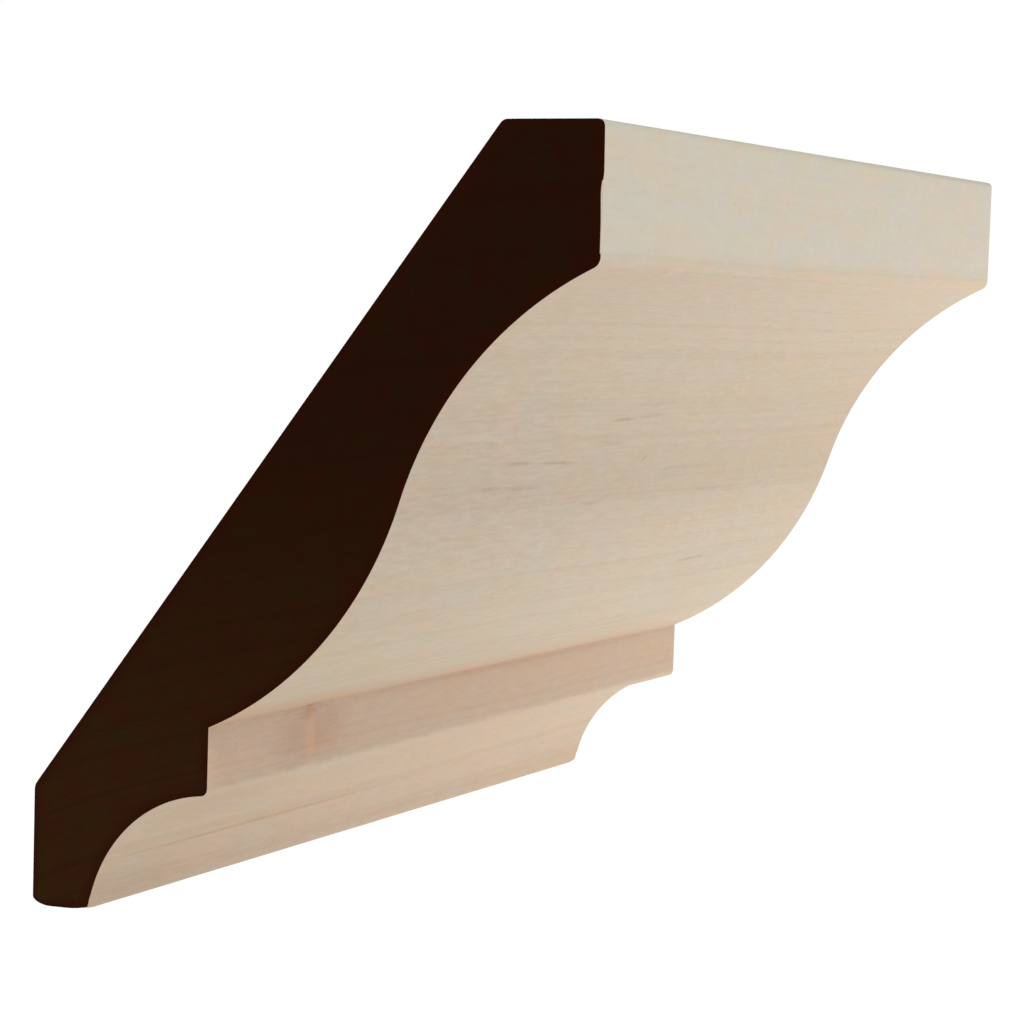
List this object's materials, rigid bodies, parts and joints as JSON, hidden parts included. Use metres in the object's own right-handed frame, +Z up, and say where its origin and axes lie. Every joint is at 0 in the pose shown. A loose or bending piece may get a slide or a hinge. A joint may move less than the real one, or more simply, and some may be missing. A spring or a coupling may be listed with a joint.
{
  "type": "crown moulding",
  "caption": "Short length of solid-wood crown moulding with a sprung back, fillets, a cyma and a cove, cut square at both ends, to finish the corner between wall and ceiling.",
  "frame": {"origin": "middle of the flat land that bears on the wall, half way along the length", "axes": "+X along the moulding, away from the stained end; +Y into the wall; +Z up to the ceiling"},
  "size_m": [0.127, 0.073, 0.0931],
  "materials": {
    "moulding_wood": "sanded unfinished pale maple, with one end grain stained dark brown"
  },
  "bodies": {
    "root": {"crown_moulding": "moulding_wood"}
  },
  "joints": []
}
